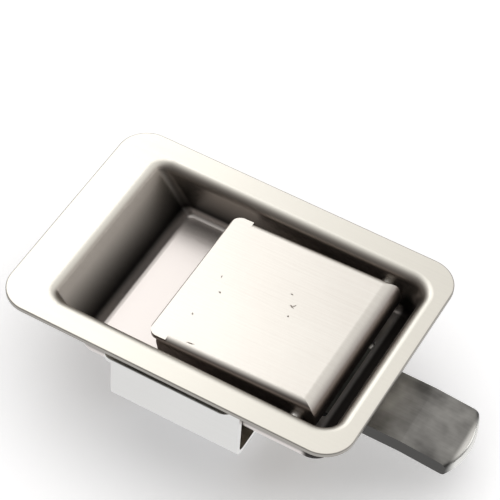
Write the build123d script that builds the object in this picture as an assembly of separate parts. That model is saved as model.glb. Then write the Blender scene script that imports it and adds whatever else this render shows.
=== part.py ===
from build123d import *
import math
import os

# Flush paddle latch in stainless sheet, clamped through one rectangular cut-out in a door.
# A tray-shaped pan carries a hinged paddle. Lifting the paddle's free end swings two lever
# arms that draw the latch bolt back in its guide. A hat-shaped bracket behind the door and
# one socket screw clamp the pan's flange to the door skin.
#
# Frame: the origin is the middle of the flange, on its back face, where the door skin seats.
# +Z points out of the door, +X towards the tip of the bolt and Y across the latch.

# ---- Stock ---------------------------------------------------------------------------------
pan_sheet = 1.5            # pan and its flange
paddle_sheet = 1.5         # paddle
cover_sheet = 1.5          # guide cover over the bolt
bracket_sheet = 1.5        # mounting bracket
yoke_sheet = 2.0           # lever yoke under the paddle
bolt_thickness = 4.75      # latch bolt plate
door_skin = 1.5            # thickness of the door that the bracket is drawn up against
soft_edge = 0.25           # rounding of a sheared sheet edge

# ---- Running clearances --------------------------------------------------------------------
pin_play = 0.05            # radial play of the paddle and yoke on the hinge pin
pin_seat = 0.02            # radial play of the pin in the pan walls
guide_play = 0.15          # bolt to floor and bolt to cover, each side
guide_side_play = 0.3      # bolt to the cover's side walls
thread_play = 0.06         # radial play that stands for the screw's thread
hole_play = 0.4            # radial play of the screw in the pan floor
bracket_hole_play = 0.5    # radial play of the screw in the bracket
bracket_side_play = 0.5    # bracket legs to the pan walls

# ---- Pan -----------------------------------------------------------------------------------
flange_length = 111.0
flange_width = 78.0
flange_corner = 9.5
cavity_depth = 16.5        # flange face down to the floor
ramp_land = 13.4           # flange edge to the top of the finger ramp
ramp_run = 12.1            # length of the ramp seen from the front
end_land = 6.1             # flange edge to the wall at the bolt end
end_flare = 2.1            # that wall flares towards the rim
end_knee_depth = 5.0
end_knee_radius = 8.0
end_draft = 0.6            # and leans a little below the flare
side_land = 9.6            # flange edge to the side walls
ramp_corner = 2.5          # radii of the cavity's upright corners
end_corner = 5.0
rim_radius = 3.2           # flange rolled over into the walls
floor_radius = 1.6         # walls into the floor

# ---- Paddle, hinge and yoke ----------------------------------------------------------------
pin_setback = 10.7         # foot of the end wall to the pin axis
pin_depth = 6.5            # pin axis below the flange face
pin_radius = 2.0
pin_head_radius = 3.0
pin_head_height = 0.9
paddle_tilt = 2.3          # degrees; the free end rests a little low in the well
paddle_rise = 5.8          # paddle face above the pin axis
paddle_side_gap = 3.4      # paddle to the side walls
paddle_reach = 48.6        # pin axis to the free lip
paddle_heel = 5.8          # pin axis to the outside of the rolled end
roll_radius = 5.0          # outside radius of the rolled end
skirt_bend = 2.4           # outside radius of the side bends
skirt_setback = 3.0        # lip overhang beyond the skirts
lip_corner = 3.0
skirt_front_drop = 1.2     # skirt edge below the pin axis at the free end
skirt_heel_drop = 5.0      # and beside the pin
heel_drop = 1.5            # rolled end's lower edge below the pin axis
yoke_web_start = 6.0       # yoke web, pin axis to its near and far edges
yoke_web_end = 22.0
arm_inset = 11.5           # side of the paddle to the middle of an arm
arm_hub_radius = 3.9
arm_length = 16.5          # pin axis to the centre of the arm's round tip
arm_half_width = 2.2
open_angle = 38.0          # degrees of paddle travel

# ---- Latch bolt ----------------------------------------------------------------------------
bolt_tail = 18.0           # behind the pin axis
bolt_shoulder = 6.5        # and in front of it
bolt_margin = 0.8          # wide part beyond the outer faces of the arms
bolt_corner = 1.5
tongue_half_width = 11.0
tongue_overhang = 23.8     # tip beyond the flange
tongue_nose = 17.3         # length of the part that is set back
tongue_bend = 5.0          # degrees
tip_arc_radius = 22.0
nose_front_radius = 1.9
nose_back_radius = 1.2
drive_gap = 0.45           # arm to the rear wall of its notch at rest
follow_gap = 1.9           # arm to the front wall of its notch at rest
arm_side_play = 0.3

# ---- Guide cover ---------------------------------------------------------------------------
cover_tail = 22.0          # behind the pin axis
cover_lead = 8.0           # and in front of it
cover_foot = 7.9           # width of a foot beyond its side wall
cover_foot_corner = 3.0
cover_bend = 0.5           # inside bend radius
cover_notch_half = 3.8
cover_notch_depth = 8.5
cover_slot_play = 0.5      # sides of an arm slot
slot_stop_gap = 0.15       # the arms rest against the front end of their slots
weld_hole_radius = 2.0     # plug welds through the cover's feet
weld_cap_radius = 2.6
weld_cap_height = 0.6
weld_offset = 4.6          # from the side wall
weld_front_inset = 10.5    # from the cover's front edge
weld_rear_inset = 6.0      # from its rear edge

# ---- Clamp ---------------------------------------------------------------------------------
screw_setback = 35.0       # pin axis to the screw
screw_radius = 3.0         # M6
screw_length = 20.0
screw_head_radius = 5.0
screw_head_height = 6.0
socket_flat = 5.0          # across flats
socket_depth = 3.2
nut_flat = 10.0            # weld nut across flats
nut_height = 5.0
bracket_length = 42.0
bracket_rise = 27.0        # bracket feet to the back of its crown
bracket_bend = 2.0         # inside bend radius
bracket_foot_inset = 0.0   # feet end this far inside the flange's edges
bracket_foot_corner = 3.5
bracket_lip = 8.0          # turned-in end of the crown
relief_radius = 1.2

# ---- Return springs ------------------------------------------------------------------------
wire_radius = 0.6
wire_flat_count = 6        # the coiled wire is drawn with flats
coil_turns = 4
coil_pitch = 1.35
coil_play = 0.35           # coil to pin
spring_end_play = 0.05     # legs to the floor and to the underside of the paddle
spring_arm_gap = 1.2       # coil to the yoke arm

# ---- Places worked out from the above ------------------------------------------------------
face_z = pan_sheet
floor_z = face_z - cavity_depth
floor_back_z = floor_z - pan_sheet
ramp_top_x = ramp_land - flange_length / 2
ramp_foot_x = ramp_top_x + ramp_run
end_top_x = flange_length / 2 - end_land
end_knee_x = end_top_x - end_flare
end_foot_x = end_knee_x - end_draft
cavity_half_width = flange_width / 2 - side_land
wall_outside = cavity_half_width + pan_sheet
pin_x = end_foot_x - pin_setback
pin_z = face_z - pin_depth
paddle_half_width = cavity_half_width - paddle_side_gap
arm_centre_y = paddle_half_width - arm_inset
arm_inner_y = arm_centre_y - yoke_sheet / 2
arm_outer_y = arm_centre_y + yoke_sheet / 2
bolt_rear_x = pin_x - bolt_tail
bolt_shoulder_x = pin_x + bolt_shoulder
bolt_half_width = arm_outer_y + bolt_margin
bolt_front_z = floor_back_z - guide_play
bolt_back_z = bolt_front_z - bolt_thickness
tongue_tip_x = flange_length / 2 + tongue_overhang
tongue_bend_x = tongue_tip_x - tongue_nose
cover_rear_x = pin_x - cover_tail
cover_front_x = pin_x + cover_lead
cover_rise = 2 * guide_play + bolt_thickness + cover_sheet
cover_half_inside = bolt_half_width + guide_side_play
cover_foot_reach = cover_half_inside + cover_sheet + cover_foot
weld_y = cover_half_inside + cover_sheet + weld_offset
screw_x = pin_x - screw_setback
feet_z = -door_skin
crown_back_z = feet_z - bracket_rise
bracket_half_inside = wall_outside + bracket_side_play
bracket_foot_reach = flange_width / 2 - bracket_foot_inset


def tray(wall, top_z):
    """The cavity of the pan, grown outwards by the wall, as a solid from top_z down."""
    side = [
        (ramp_top_x, face_z),
        (ramp_foot_x, floor_z),
        (end_foot_x, floor_z),
        (end_knee_x, face_z - end_knee_depth),
        (end_top_x, face_z),
    ]
    profile = make_face(FilletPolyline(*side, radius=[0, 0, 0, end_knee_radius, 0], close=True))
    if wall:
        profile = offset(profile, amount=wall, kind=Kind.INTERSECTION)
    half_width = cavity_half_width + wall
    form = extrude(Plane.XZ * profile, half_width, both=True)
    form &= Pos(0, 0, top_z - flange_width) * Box(
        2 * flange_length, 2 * flange_width, 2 * flange_width
    )
    ramp_corners = [e for e in form.edges() if in_side_wall(e, half_width) and e.center().X < 0]
    form = fillet(ramp_corners, ramp_corner + wall)
    end_corners = [e for e in form.edges() if in_side_wall(e, half_width) and e.center().X > end_foot_x]
    form = fillet(end_corners, end_corner + wall)
    return fillet(form.edges().group_by(Axis.Z)[0], floor_radius + wall)


def in_side_wall(edge, half_width):
    """True for an upright or sloping edge that lies in one of the cavity's side walls."""
    size = edge.bounding_box().size
    return size.Y < 1e-4 and size.Z > 1e-4 and abs(abs(edge.center().Y) - half_width) < 1e-4


def make_pan():
    """Deep-drawn tray with its flange, pierced for the pin, the arms and the screw."""
    flange_plan = RectangleRounded(flange_length, flange_width, flange_corner)
    flange = extrude(flange_plan, pan_sheet)
    rim = flange.edges().group_by(Axis.Z)[-1] + flange.edges().group_by(Axis.Z)[0]
    flange = fillet(rim, soft_edge)
    body = flange + tray(pan_sheet, pan_sheet / 2)
    throat = [e for e in body.edges() if abs(e.center().Z) < 1e-6 and is_inside_flange(e)]
    body = fillet(throat, rim_radius - pan_sheet)
    body -= tray(0.0, face_z)
    rolled = [e for e in body.edges() if abs(e.center().Z - face_z) < 1e-6 and is_inside_flange(e)]
    body = fillet(rolled, rim_radius)
    arm_top_reach = (floor_back_z - pin_z) * math.tan(math.radians(open_angle))
    window_rear = pin_x + arm_top_reach - arm_half_width / math.cos(math.radians(open_angle)) - 0.8
    window_front = pin_x + arm_half_width + 2.2
    window_half = arm_outer_y + arm_side_play
    window = Pos((window_rear + window_front) / 2, 0, floor_z) * Box(
        window_front - window_rear, 2 * window_half, 4 * pan_sheet
    )
    window = fillet(window.edges().filter_by(Axis.Z), 1.0)
    body -= window
    body -= Pos(screw_x, 0, floor_z) * Cylinder(screw_radius + hole_play, 4 * pan_sheet)
    pin_hole = Cylinder(pin_radius + pin_seat, flange_width, rotation=(90, 0, 0))
    return body - Pos(pin_x, 0, pin_z) * pin_hole


def is_inside_flange(edge):
    """True for the edges of the opening, false for the flange's own outline."""
    box = edge.bounding_box()
    inside_x = max(abs(box.min.X), abs(box.max.X)) < flange_length / 2 - 1.0
    return inside_x and max(abs(box.min.Y), abs(box.max.Y)) < flange_width / 2 - 1.0


def make_hinge_pin():
    """Plain pin with a low peened head outside each pan wall."""
    shaft = Cylinder(pin_radius, 2 * wall_outside, rotation=(90, 0, 0))
    head = Cylinder(pin_head_radius, pin_head_height)
    head = fillet(head.edges().group_by(Axis.Z)[-1], pin_head_height * 0.7)
    far = Pos(0, wall_outside + pin_head_height / 2, 0) * Rot(-90, 0, 0) * head
    near = Pos(0, -wall_outside - pin_head_height / 2, 0) * Rot(90, 0, 0) * head
    return Pos(pin_x, 0, pin_z) * (shaft + far + near)


def paddle_form(inset):
    """The paddle's outer form, drawn in by the inset, about the pin axis.

    It is the overlap of the side profile with its rolled end and the arched cross-section,
    so the bends meet in a crisp line at the two heel corners. A drawn-in form runs on past
    the free end and below the skirts, which leaves the folded sheet open there.
    """
    top = paddle_rise - inset
    heel = paddle_heel - inset
    front = -(paddle_reach - skirt_setback)
    past = 20.0 if inset else 0.0
    side = [
        (front - past, top),
        (heel, top),
        (heel, -heel_drop - past),
        (pin_radius, -skirt_heel_drop - past),
        (-skirt_heel_drop - pin_radius, -skirt_heel_drop - past),
        (front + 1.2 - past, -skirt_front_drop - past),
    ]
    edge = soft_edge
    profile = FilletPolyline(
        *side, radius=[edge, roll_radius - inset, edge, edge + 1.5, edge + 1.5, edge], close=True
    )
    width = 2 * paddle_half_width
    slab = extrude(Plane.XZ * make_face(profile), width, both=True)
    half = paddle_half_width - inset
    depth = 2 * paddle_half_width
    arch = [(-half, top), (half, top), (half, top - depth), (-half, top - depth)]
    bend = skirt_bend - inset
    arch_face = make_face(FilletPolyline(*arch, radius=[bend, bend, bend, bend], close=True))
    channel = extrude(Plane.YZ * arch_face, 3 * paddle_reach, both=True)
    return slab & channel


def on_hinge(shape):
    """Puts a shape drawn about the pin axis in place, with the paddle's resting tilt."""
    return Pos(pin_x, 0, pin_z) * Rot(0, -paddle_tilt, 0) * shape


def make_paddle():
    """Folded sheet paddle: flat face, two skirts, rolled heel and an overhanging lip."""
    shell = paddle_form(0.0) - paddle_form(paddle_sheet)
    lip_root = -(paddle_reach - skirt_setback) + lip_corner
    lip_length = paddle_reach + lip_root
    lip = Box(lip_length, 2 * (paddle_half_width - skirt_bend / 4), paddle_sheet)
    front_edges = lip.edges().filter_by(Axis.Z).sort_by(Axis.X)[:2]
    lip = fillet(front_edges, lip_corner)
    lip = Pos(lip_root - lip_length / 2, 0, paddle_rise - paddle_sheet / 2) * lip
    lip &= Pos(lip_root - lip_length / 2, 0, 0) * Box(
        lip_length, 2 * paddle_half_width - skirt_bend / 2, 4 * paddle_rise
    )
    hole = Cylinder(pin_radius + pin_play, 3 * paddle_half_width, rotation=(90, 0, 0))
    return on_hinge(shell + lip - hole)


def make_yoke():
    """U-shaped lever yoke: a web spot-welded under the paddle and two arms on the pin."""
    web_top = paddle_rise - paddle_sheet
    web = Pos(-(yoke_web_start + yoke_web_end) / 2, 0, web_top - yoke_sheet / 2) * Box(
        yoke_web_end - yoke_web_start, 2 * arm_outer_y, yoke_sheet
    )
    web = fillet(web.edges().filter_by(Axis.X).group_by(Axis.Z)[-1], yoke_sheet * 0.6)
    hub = Circle(arm_hub_radius)
    ear = make_face(
        Polyline(
            (-yoke_web_end, web_top - yoke_sheet),
            (-yoke_web_start, web_top - yoke_sheet),
            (0, arm_hub_radius * 0.86),
            (0, -arm_hub_radius),
            (-yoke_web_end, web_top - 2 * yoke_sheet),
            close=True,
        )
    )
    lever = Pos(0, -arm_length / 2) * Rectangle(2 * arm_half_width, arm_length)
    lever += Pos(0, -arm_length) * Circle(arm_half_width)
    side = hub + ear + Rot(0, 0, -paddle_tilt) * lever
    arms = [
        Pos(0, y + yoke_sheet / 2, 0) * extrude(Plane.XZ * side, yoke_sheet)
        for y in (-arm_centre_y, arm_centre_y)
    ]
    hole = Cylinder(pin_radius + pin_play, 4 * arm_centre_y, rotation=(90, 0, 0))
    return on_hinge(web + arms[0] + arms[1] - hole)


def make_bolt():
    """T-shaped plate bolt, notched for the arms, its tongue set back towards the tip."""
    back = -bolt_thickness
    drop = (tongue_tip_x - tongue_bend_x) * math.tan(math.radians(tongue_bend))
    side = Polyline(
        (bolt_rear_x, 0),
        (tongue_bend_x, 0),
        (tongue_tip_x, -drop),
        (tongue_tip_x, back - drop),
        (tongue_bend_x, back),
        (bolt_rear_x, back),
        close=True,
    )
    slab = extrude(Plane.XZ * make_face(side), 2 * bolt_half_width, both=True)
    wide = Pos((bolt_rear_x + bolt_shoulder_x) / 2, 0) * Rectangle(
        bolt_shoulder_x - bolt_rear_x, 2 * bolt_half_width
    )
    wide = fillet(wide.vertices(), bolt_corner)
    root_x = bolt_shoulder_x - bolt_shoulder / 2
    corner_x = tongue_tip_x - tip_arc_radius + math.sqrt(tip_arc_radius**2 - tongue_half_width**2)
    tongue = make_face(
        [
            Line((root_x, -tongue_half_width), (corner_x, -tongue_half_width)),
            ThreePointArc(
                (corner_x, -tongue_half_width), (tongue_tip_x, 0), (corner_x, tongue_half_width)
            ),
            Line((corner_x, tongue_half_width), (root_x, tongue_half_width)),
            Line((root_x, tongue_half_width), (root_x, -tongue_half_width)),
        ]
    )
    notch_rear = pin_x - arm_half_width - drive_gap
    notch_front = pin_x + arm_half_width + follow_gap
    notch_inner = arm_inner_y - arm_side_play
    notch_width = bolt_half_width - notch_inner + 1.0
    notch = Rectangle(notch_front - notch_rear, notch_width)
    notch_x = (notch_rear + notch_front) / 2
    notch_y = notch_inner + notch_width / 2
    plan = wide + tongue - Pos(notch_x, notch_y) * notch - Pos(notch_x, -notch_y) * notch
    bolt = slab & extrude(plan, 20, both=True)
    tip_edges = [e for e in bolt.edges() if e.center().X > corner_x and e.geom_type != GeomType.LINE]
    front_edge = sorted(tip_edges, key=lambda e: -e.center().Z)[:1]
    bolt = fillet(front_edge, nose_front_radius)
    tip_edges = [e for e in bolt.edges() if e.center().X > corner_x and e.geom_type != GeomType.LINE]
    back_edge = sorted(tip_edges, key=lambda e: e.center().Z)[:1]
    bolt = fillet(back_edge, nose_back_radius)
    return Pos(0, 0, bolt_front_z) * bolt


def hat_channel(half_inside, rise, foot_reach, bend, sheet, length):
    """Bent hat channel along X: feet up on z = 0, crown below them, centred on x = 0."""
    outside = half_inside + sheet
    tight = min(bend, 0.6 * (foot_reach - outside))
    wide = bend + sheet
    points = [
        (foot_reach, 0),
        (foot_reach, -sheet),
        (outside, -sheet),
        (outside, -rise),
        (-outside, -rise),
        (-outside, -sheet),
        (-foot_reach, -sheet),
        (-foot_reach, 0),
        (-half_inside, 0),
        (-half_inside, -rise + sheet),
        (half_inside, -rise + sheet),
        (half_inside, 0),
    ]
    radii = [soft_edge, soft_edge, tight, wide, wide, tight]
    radii += [soft_edge, soft_edge, tight + sheet, bend, bend, tight + sheet]
    section = make_face(FilletPolyline(*points, radius=radii, close=True))
    return extrude(Plane.YZ * section, length / 2, both=True)


def make_guide_cover():
    """Hat-shaped cover behind the pan floor, with a front notch and two arm slots."""
    length = cover_front_x - cover_rear_x
    middle = (cover_front_x + cover_rear_x) / 2
    cover = hat_channel(
        cover_half_inside, cover_rise, cover_foot_reach, cover_bend, cover_sheet, length
    )
    plan = fillet(Rectangle(length, 2 * cover_foot_reach).vertices(), cover_foot_corner)
    cover &= extrude(plan, 2 * cover_rise, both=True)
    cover = Pos(middle, 0, floor_back_z) * cover
    crown_z = floor_back_z - cover_rise + cover_sheet / 2
    notch = Box(2 * cover_notch_depth, 2 * cover_notch_half, 2 * cover_sheet)
    notch = fillet(notch.edges().filter_by(Axis.Z), 0.8)
    cover -= Pos(cover_front_x, 0, crown_z) * notch
    swing = arm_length * math.sin(math.radians(open_angle)) * 0.85
    slot_rear = pin_x - swing - arm_half_width - cover_slot_play
    slot_front = pin_x + arm_half_width + slot_stop_gap
    slot = Box(slot_front - slot_rear, yoke_sheet + 2 * cover_slot_play, 2 * cover_sheet)
    for side in (-1, 1):
        cover -= Pos((slot_rear + slot_front) / 2, side * arm_centre_y, crown_z) * slot
        for x in weld_spots():
            hole = Cylinder(weld_hole_radius, 4 * cover_sheet)
            cover -= Pos(x, side * weld_y, floor_back_z) * hole
    return cover


def weld_spots():
    """Stations along the cover of the plug welds in each foot."""
    return [cover_front_x - weld_front_inset, cover_rear_x + weld_rear_inset]


def make_cover_welds(side):
    """Plug welds that fill the holes in one of the cover's feet and stand a little proud."""
    plug = Pos(0, 0, -cover_sheet / 2) * Cylinder(weld_hole_radius, cover_sheet)
    cap = Pos(0, 0, -cover_sheet - weld_cap_height / 2) * Cylinder(weld_cap_radius, weld_cap_height)
    cap = chamfer(cap.edges().group_by(Axis.Z)[0], weld_cap_height * 0.6)
    nugget = plug + cap
    return Compound(
        children=[Pos(x, side * weld_y, floor_back_z) * nugget for x in weld_spots()]
    )


def make_weld_nut():
    """Hexagonal weld nut behind the floor, in line with the screw."""
    nut = extrude(RegularPolygon(nut_flat / 2, 6, major_radius=False), -nut_height)
    crown = nut.faces().sort_by(Axis.Z)[0]
    nut = chamfer(crown.edges(), 0.5)
    nut -= Pos(0, 0, -nut_height / 2) * Cylinder(screw_radius + thread_play, 2 * nut_height)
    return Pos(screw_x, 0, floor_back_z) * nut


def make_bracket():
    """Hat-shaped clamping bracket with rounded feet and one turned-in end."""
    bracket = hat_channel(
        bracket_half_inside,
        bracket_rise,
        bracket_foot_reach,
        bracket_bend,
        bracket_sheet,
        bracket_length,
    )
    plan = Rectangle(bracket_length, 2 * bracket_foot_reach)
    foot_run = bracket_foot_reach - bracket_half_inside - bracket_sheet
    plan = fillet(plan.vertices(), min(bracket_foot_corner, foot_run))
    bracket &= extrude(plan, 2 * bracket_rise, both=True)
    lip_half = bracket_half_inside - bracket_bend - 2 * relief_radius
    lip_outer = bracket_bend + bracket_sheet
    lip_section = make_face(
        FilletPolyline(
            (lip_outer, -bracket_rise),
            (0, -bracket_rise),
            (0, -bracket_rise + bracket_lip),
            (bracket_sheet, -bracket_rise + bracket_lip),
            (bracket_sheet, -bracket_rise + bracket_sheet),
            (lip_outer, -bracket_rise + bracket_sheet),
            radius=[0, lip_outer, soft_edge, soft_edge, bracket_bend, 0],
            close=True,
        )
    )
    end_x = -bracket_length / 2
    notch_depth = lip_outer
    cut = Box(2 * notch_depth, 2 * (lip_half + 2 * relief_radius), 2 * lip_outer)
    bracket -= Pos(end_x, 0, -bracket_rise) * cut
    lip = extrude(Plane.XZ * lip_section, lip_half, both=True)
    bracket += Pos(end_x, 0, 0) * lip
    for side in (-1, 1):
        relief = Cylinder(relief_radius, 4 * bracket_sheet)
        bracket -= Pos(end_x + notch_depth, side * (lip_half + relief_radius), -bracket_rise) * relief
    bracket -= Pos(0, 0, -bracket_rise) * Cylinder(
        screw_radius + bracket_hole_play, 4 * bracket_sheet
    )
    return Pos(screw_x, 0, feet_z) * bracket


def make_screw():
    """Socket-head cap screw, its head seated on the back of the bracket."""
    head = Cylinder(screw_head_radius, screw_head_height, align=(Align.CENTER, Align.CENTER, Align.MAX))
    head = fillet(head.edges().group_by(Axis.Z)[0], 0.6)
    socket = extrude(RegularPolygon(socket_flat / 2, 6, major_radius=False), socket_depth)
    head -= Pos(0, 0, -screw_head_height) * socket
    shank = Cylinder(screw_radius, screw_length, align=(Align.CENTER, Align.CENTER, Align.MIN))
    shank = chamfer(shank.edges().group_by(Axis.Z)[-1], 0.7)
    return Pos(screw_x, 0, crown_back_z) * (head + shank)


def make_spring():
    """Far torsion spring: wound on the pin, one leg on the floor, one under the heel."""
    mean = pin_radius + coil_play + wire_radius
    inner_y = arm_outer_y + spring_arm_gap + wire_radius
    path = Helix(coil_pitch, coil_turns * coil_pitch, mean)
    section = Plane(path @ 0, z_dir=path % 0) * RegularPolygon(wire_radius, wire_flat_count)
    coil = sweep(section, path=path, is_frenet=True)
    hook_face = coil.faces().sort_by_distance(path @ 0)[0]
    leg_face = coil.faces().sort_by_distance(path @ 1)[0]
    slope = math.cos(math.atan2(coil_pitch, 2 * math.pi * mean))
    inner_roll = roll_radius - paddle_sheet
    across_roll = mean + wire_radius - (paddle_heel - roll_radius)
    heel_ceiling = paddle_rise - roll_radius + math.sqrt(inner_roll**2 - across_roll**2)
    hook_length = (heel_ceiling - spring_end_play) / slope
    leg_length = (pin_z - floor_z - spring_end_play) / slope
    spring = coil + extrude(hook_face, hook_length) + extrude(leg_face, leg_length)
    return Pos(pin_x, 0, pin_z) * Pos(0, inner_y, 0) * Rot(-90, 0, 0) * spring


parts = {
    "pan": make_pan(),
    "hinge_pin": make_hinge_pin(),
    "paddle": make_paddle(),
    "paddle_yoke": make_yoke(),
    "return_spring_far": make_spring(),
    "return_spring_near": mirror(make_spring(), about=Plane.XZ),
    "latch_bolt": make_bolt(),
    "guide_cover": make_guide_cover(),
    "cover_weld_far": make_cover_welds(1),
    "cover_weld_near": make_cover_welds(-1),
    "weld_nut": make_weld_nut(),
    "mounting_bracket": make_bracket(),
    "clamp_screw": make_screw(),
}

os.makedirs("parts", exist_ok=True)
for name, shape in parts.items():
    export_step(shape, f"parts/{name}.step")
    print(name, len(shape.solids()), round(shape.volume, 2))
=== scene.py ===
import math

import bpy
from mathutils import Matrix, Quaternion, Vector


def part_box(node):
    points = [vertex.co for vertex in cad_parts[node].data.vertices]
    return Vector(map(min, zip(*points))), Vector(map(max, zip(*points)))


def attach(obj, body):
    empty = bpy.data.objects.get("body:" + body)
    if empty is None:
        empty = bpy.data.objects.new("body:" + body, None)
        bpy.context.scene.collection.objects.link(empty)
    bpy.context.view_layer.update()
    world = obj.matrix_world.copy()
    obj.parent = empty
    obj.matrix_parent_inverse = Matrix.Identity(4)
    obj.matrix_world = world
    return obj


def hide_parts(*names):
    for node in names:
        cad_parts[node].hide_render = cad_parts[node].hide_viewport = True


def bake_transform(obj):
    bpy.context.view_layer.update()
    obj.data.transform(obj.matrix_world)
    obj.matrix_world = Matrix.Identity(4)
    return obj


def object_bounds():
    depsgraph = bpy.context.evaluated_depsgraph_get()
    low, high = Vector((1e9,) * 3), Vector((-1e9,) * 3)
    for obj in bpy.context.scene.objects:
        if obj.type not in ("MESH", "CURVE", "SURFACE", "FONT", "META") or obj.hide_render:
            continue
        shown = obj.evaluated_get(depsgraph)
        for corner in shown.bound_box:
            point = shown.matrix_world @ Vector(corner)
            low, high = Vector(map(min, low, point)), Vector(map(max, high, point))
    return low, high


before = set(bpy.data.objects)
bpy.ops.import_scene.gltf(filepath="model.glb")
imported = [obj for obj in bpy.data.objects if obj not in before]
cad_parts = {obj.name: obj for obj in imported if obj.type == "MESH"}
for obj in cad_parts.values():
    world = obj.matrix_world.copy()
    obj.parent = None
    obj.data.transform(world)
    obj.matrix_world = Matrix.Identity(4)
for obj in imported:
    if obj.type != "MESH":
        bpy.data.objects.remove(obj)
cad_box = [list(corner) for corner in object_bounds()]
bpy.ops.object.select_all(action="DESELECT")


# ---- Camera ----------------------------------------------------------------------------------
# A long lens from the front right, looking down into the well, rolled a few degrees.
camera_at = (0.17866, -0.35439, 0.49096)
camera_aim = (-0.00237, 0.01499, 0.0)
camera_roll = math.radians(4.49)
camera_lens = 159.1


def aimed_rotation(place, aim):
    """Rotation that turns an object's -Z towards the aim, with its Y axis upright."""
    return (Vector(aim) - Vector(place)).to_track_quat("-Z", "Y")


bpy.ops.object.camera_add(location=camera_at)
camera = bpy.context.object
camera.name = "camera"
camera.data.lens = camera_lens
camera.data.sensor_width = 36.0
camera.data.clip_start = 0.01
camera.rotation_mode = "QUATERNION"
camera.rotation_quaternion = aimed_rotation(camera_at, camera_aim) @ Quaternion(
    (0, 0, 1), camera_roll
)
bpy.context.scene.camera = camera
bpy.context.scene.view_settings.view_transform = "Standard"


# ---- Studio ----------------------------------------------------------------------------------
# A pale table under the latch, a softbox behind and to the left and a weak low one behind to
# the right, in a room that is bright overhead and dim towards the front. The table and the
# room look white to the eye, and the table keeps the latch's soft shadow; its glow is also
# dimmed near the latch, a painted shadow.
table_gap = 0.0004
table_z = cad_box[0][2] - table_gap

bpy.ops.mesh.primitive_plane_add(size=6.0, location=(0, 0, table_z))
table = bpy.context.object
table.name = "table"

table_paint = bpy.data.materials.new("table_paint")
table_paint.use_nodes = True
nodes, links = table_paint.node_tree.nodes, table_paint.node_tree.links
nodes.clear()
table_out = nodes.new("ShaderNodeOutputMaterial")
table_matt = nodes.new("ShaderNodeBsdfDiffuse")
table_matt.inputs["Color"].default_value = (0.90, 0.90, 0.92, 1)
table_lift = nodes.new("ShaderNodeEmission")
table_lift.inputs["Color"].default_value = (1, 1, 1, 1)
# The table's glow fades where the latch is near: a painted shadow round it.
table_painted_shadow = nodes.new("ShaderNodeAmbientOcclusion")
table_painted_shadow.inputs["Distance"].default_value = 0.09
table_shadow_glow = nodes.new("ShaderNodeMapRange")
table_shadow_glow.inputs["From Min"].default_value = 0.45
table_shadow_glow.inputs["From Max"].default_value = 0.97
table_shadow_glow.inputs["To Min"].default_value = 0.22
table_shadow_glow.inputs["To Max"].default_value = 0.62
links.new(table_painted_shadow.outputs["AO"], table_shadow_glow.inputs["Value"])
links.new(table_shadow_glow.outputs[0], table_lift.inputs["Strength"])
table_sum = nodes.new("ShaderNodeAddShader")
links.new(table_matt.outputs[0], table_sum.inputs[0])
links.new(table_lift.outputs[0], table_sum.inputs[1])
table_white = nodes.new("ShaderNodeEmission")
table_white.inputs["Strength"].default_value = 0.95
rays = nodes.new("ShaderNodeLightPath")
mirrored = nodes.new("ShaderNodeMath")
mirrored.operation = "MAXIMUM"
links.new(rays.outputs["Is Glossy Ray"], mirrored.inputs[0])
links.new(rays.outputs["Is Transmission Ray"], mirrored.inputs[1])
seen = nodes.new("ShaderNodeMixShader")
links.new(rays.outputs["Is Camera Ray"], seen.inputs[0])
links.new(table_matt.outputs[0], seen.inputs[1])
links.new(table_sum.outputs[0], seen.inputs[2])
shown = nodes.new("ShaderNodeMixShader")
links.new(mirrored.outputs[0], shown.inputs[0])
links.new(seen.outputs[0], shown.inputs[1])
links.new(table_white.outputs[0], shown.inputs[2])
table_under = nodes.new("ShaderNodeNewGeometry")
table_clear = nodes.new("ShaderNodeBsdfTransparent")
one_sided = nodes.new("ShaderNodeMixShader")
links.new(table_under.outputs["Backfacing"], one_sided.inputs[0])
links.new(shown.outputs[0], one_sided.inputs[1])
links.new(table_clear.outputs[0], one_sided.inputs[2])
links.new(one_sided.outputs[0], table_out.inputs["Surface"])
table.data.materials.append(table_paint)


def softbox(name, place, aim, width, height, power):
    """An area lamp at a place, turned towards a point."""
    bpy.ops.object.light_add(type="AREA", location=place)
    lamp = bpy.context.object
    lamp.name = name
    lamp.data.shape = "RECTANGLE"
    lamp.data.size = width
    lamp.data.size_y = height
    lamp.data.energy = power
    lamp.rotation_mode = "QUATERNION"
    lamp.rotation_quaternion = aimed_rotation(place, aim)
    return lamp


softbox(
    "key_softbox",
    place=(-0.30, 0.27, 0.40),
    aim=(0, 0, 0),
    width=0.30,
    height=0.30,
    power=0.31,
)
softbox(
    "ramp_softbox",
    place=(0.45, 0.32, 0.12),
    aim=(-0.03, 0, -0.008),
    width=0.20,
    height=0.20,
    power=0.12,
)

world = bpy.data.worlds.new("studio_room")
bpy.context.scene.world = world
world.use_nodes = True
nodes, links = world.node_tree.nodes, world.node_tree.links
nodes.clear()
world_out = nodes.new("ShaderNodeOutputWorld")
room = nodes.new("ShaderNodeBackground")
white_room = nodes.new("ShaderNodeBackground")
white_room.inputs["Strength"].default_value = 1.0
room_shown = nodes.new("ShaderNodeMixShader")
room_rays = nodes.new("ShaderNodeLightPath")
direction = nodes.new("ShaderNodeTexCoord")
split = nodes.new("ShaderNodeSeparateXYZ")
links.new(direction.outputs["Generated"], split.inputs[0])
ceiling = nodes.new("ShaderNodeMapRange")
ceiling.interpolation_type = "SMOOTHSTEP"
ceiling.inputs["From Min"].default_value = 0.0
ceiling.inputs["From Max"].default_value = 0.72
ceiling.inputs["To Min"].default_value = 0.14
ceiling.inputs["To Max"].default_value = 0.86
links.new(split.outputs["Z"], ceiling.inputs["Value"])
depth = nodes.new("ShaderNodeMapRange")
depth.interpolation_type = "SMOOTHSTEP"
depth.inputs["From Min"].default_value = -0.75
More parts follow.
